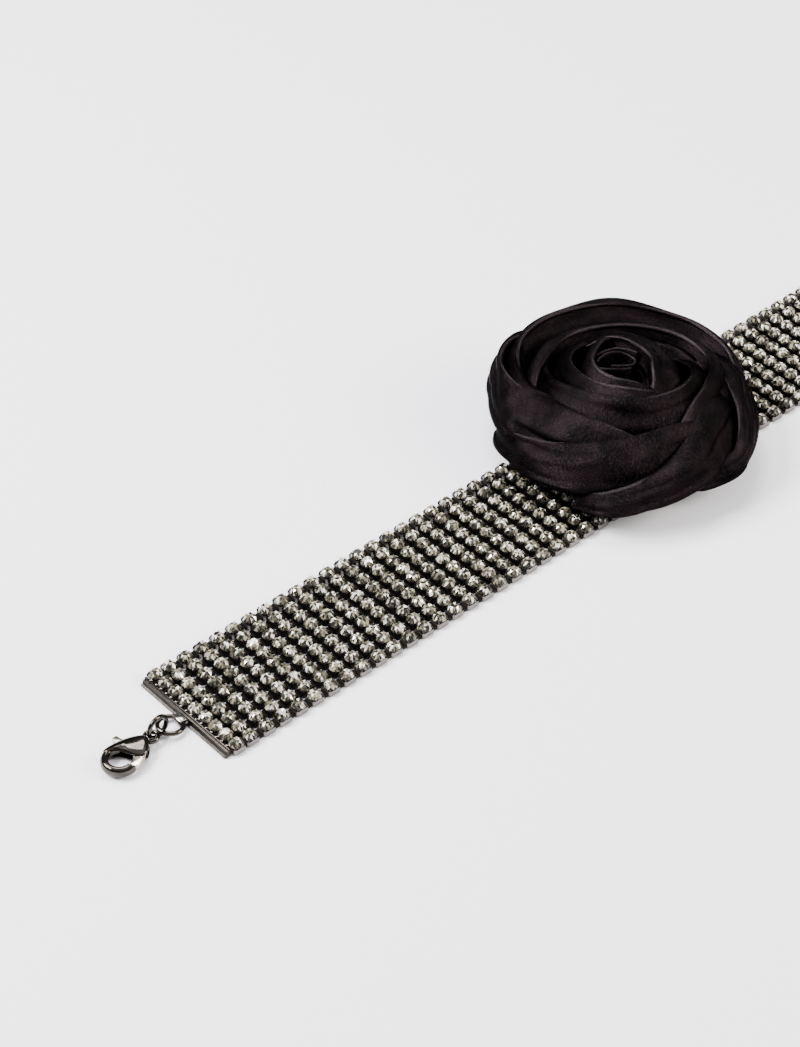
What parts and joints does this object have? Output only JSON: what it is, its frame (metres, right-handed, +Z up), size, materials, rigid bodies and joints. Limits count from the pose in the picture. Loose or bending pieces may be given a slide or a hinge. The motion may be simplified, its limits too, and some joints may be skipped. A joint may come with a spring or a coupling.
{
  "type": "choker necklace",
  "caption": "Flat stone mesh choker with a rolled satin rose, end bars, trigger clasp and closing ring, lying open.",
  "frame": {"origin": "middle of the stone band's underside", "axes": "+X along the band away from the clasp, +Y across the band, +Z up out of the stones"},
  "size_m": [0.3231, 0.0485, 0.0208],
  "materials": {
    "stones": "clear grey stones in dark metal cups",
    "gunmetal": "polished dark gunmetal plating",
    "satin": "black satin, soft sheen"
  },
  "bodies": {
    "root": {"band": "stones", "end_bar_clasp": "gunmetal", "end_bar_plain": "gunmetal", "jump_ring": "gunmetal", "link_ring": "gunmetal", "clasp_body": "gunmetal", "closing_ring": "gunmetal", "rose": "satin"},
    "lever": {"clasp_lever": "gunmetal"}
  },
  "joints": [
    {"name": "lever_turn", "type": "hinge", "parent": "root", "child": "lever", "pos_m": [-0.15892, -0.00114, 0.0013], "axis": [0, 0, -1], "range_deg": [0, 25], "stiffness_Nm_per_rad": 0.004}
  ]
}
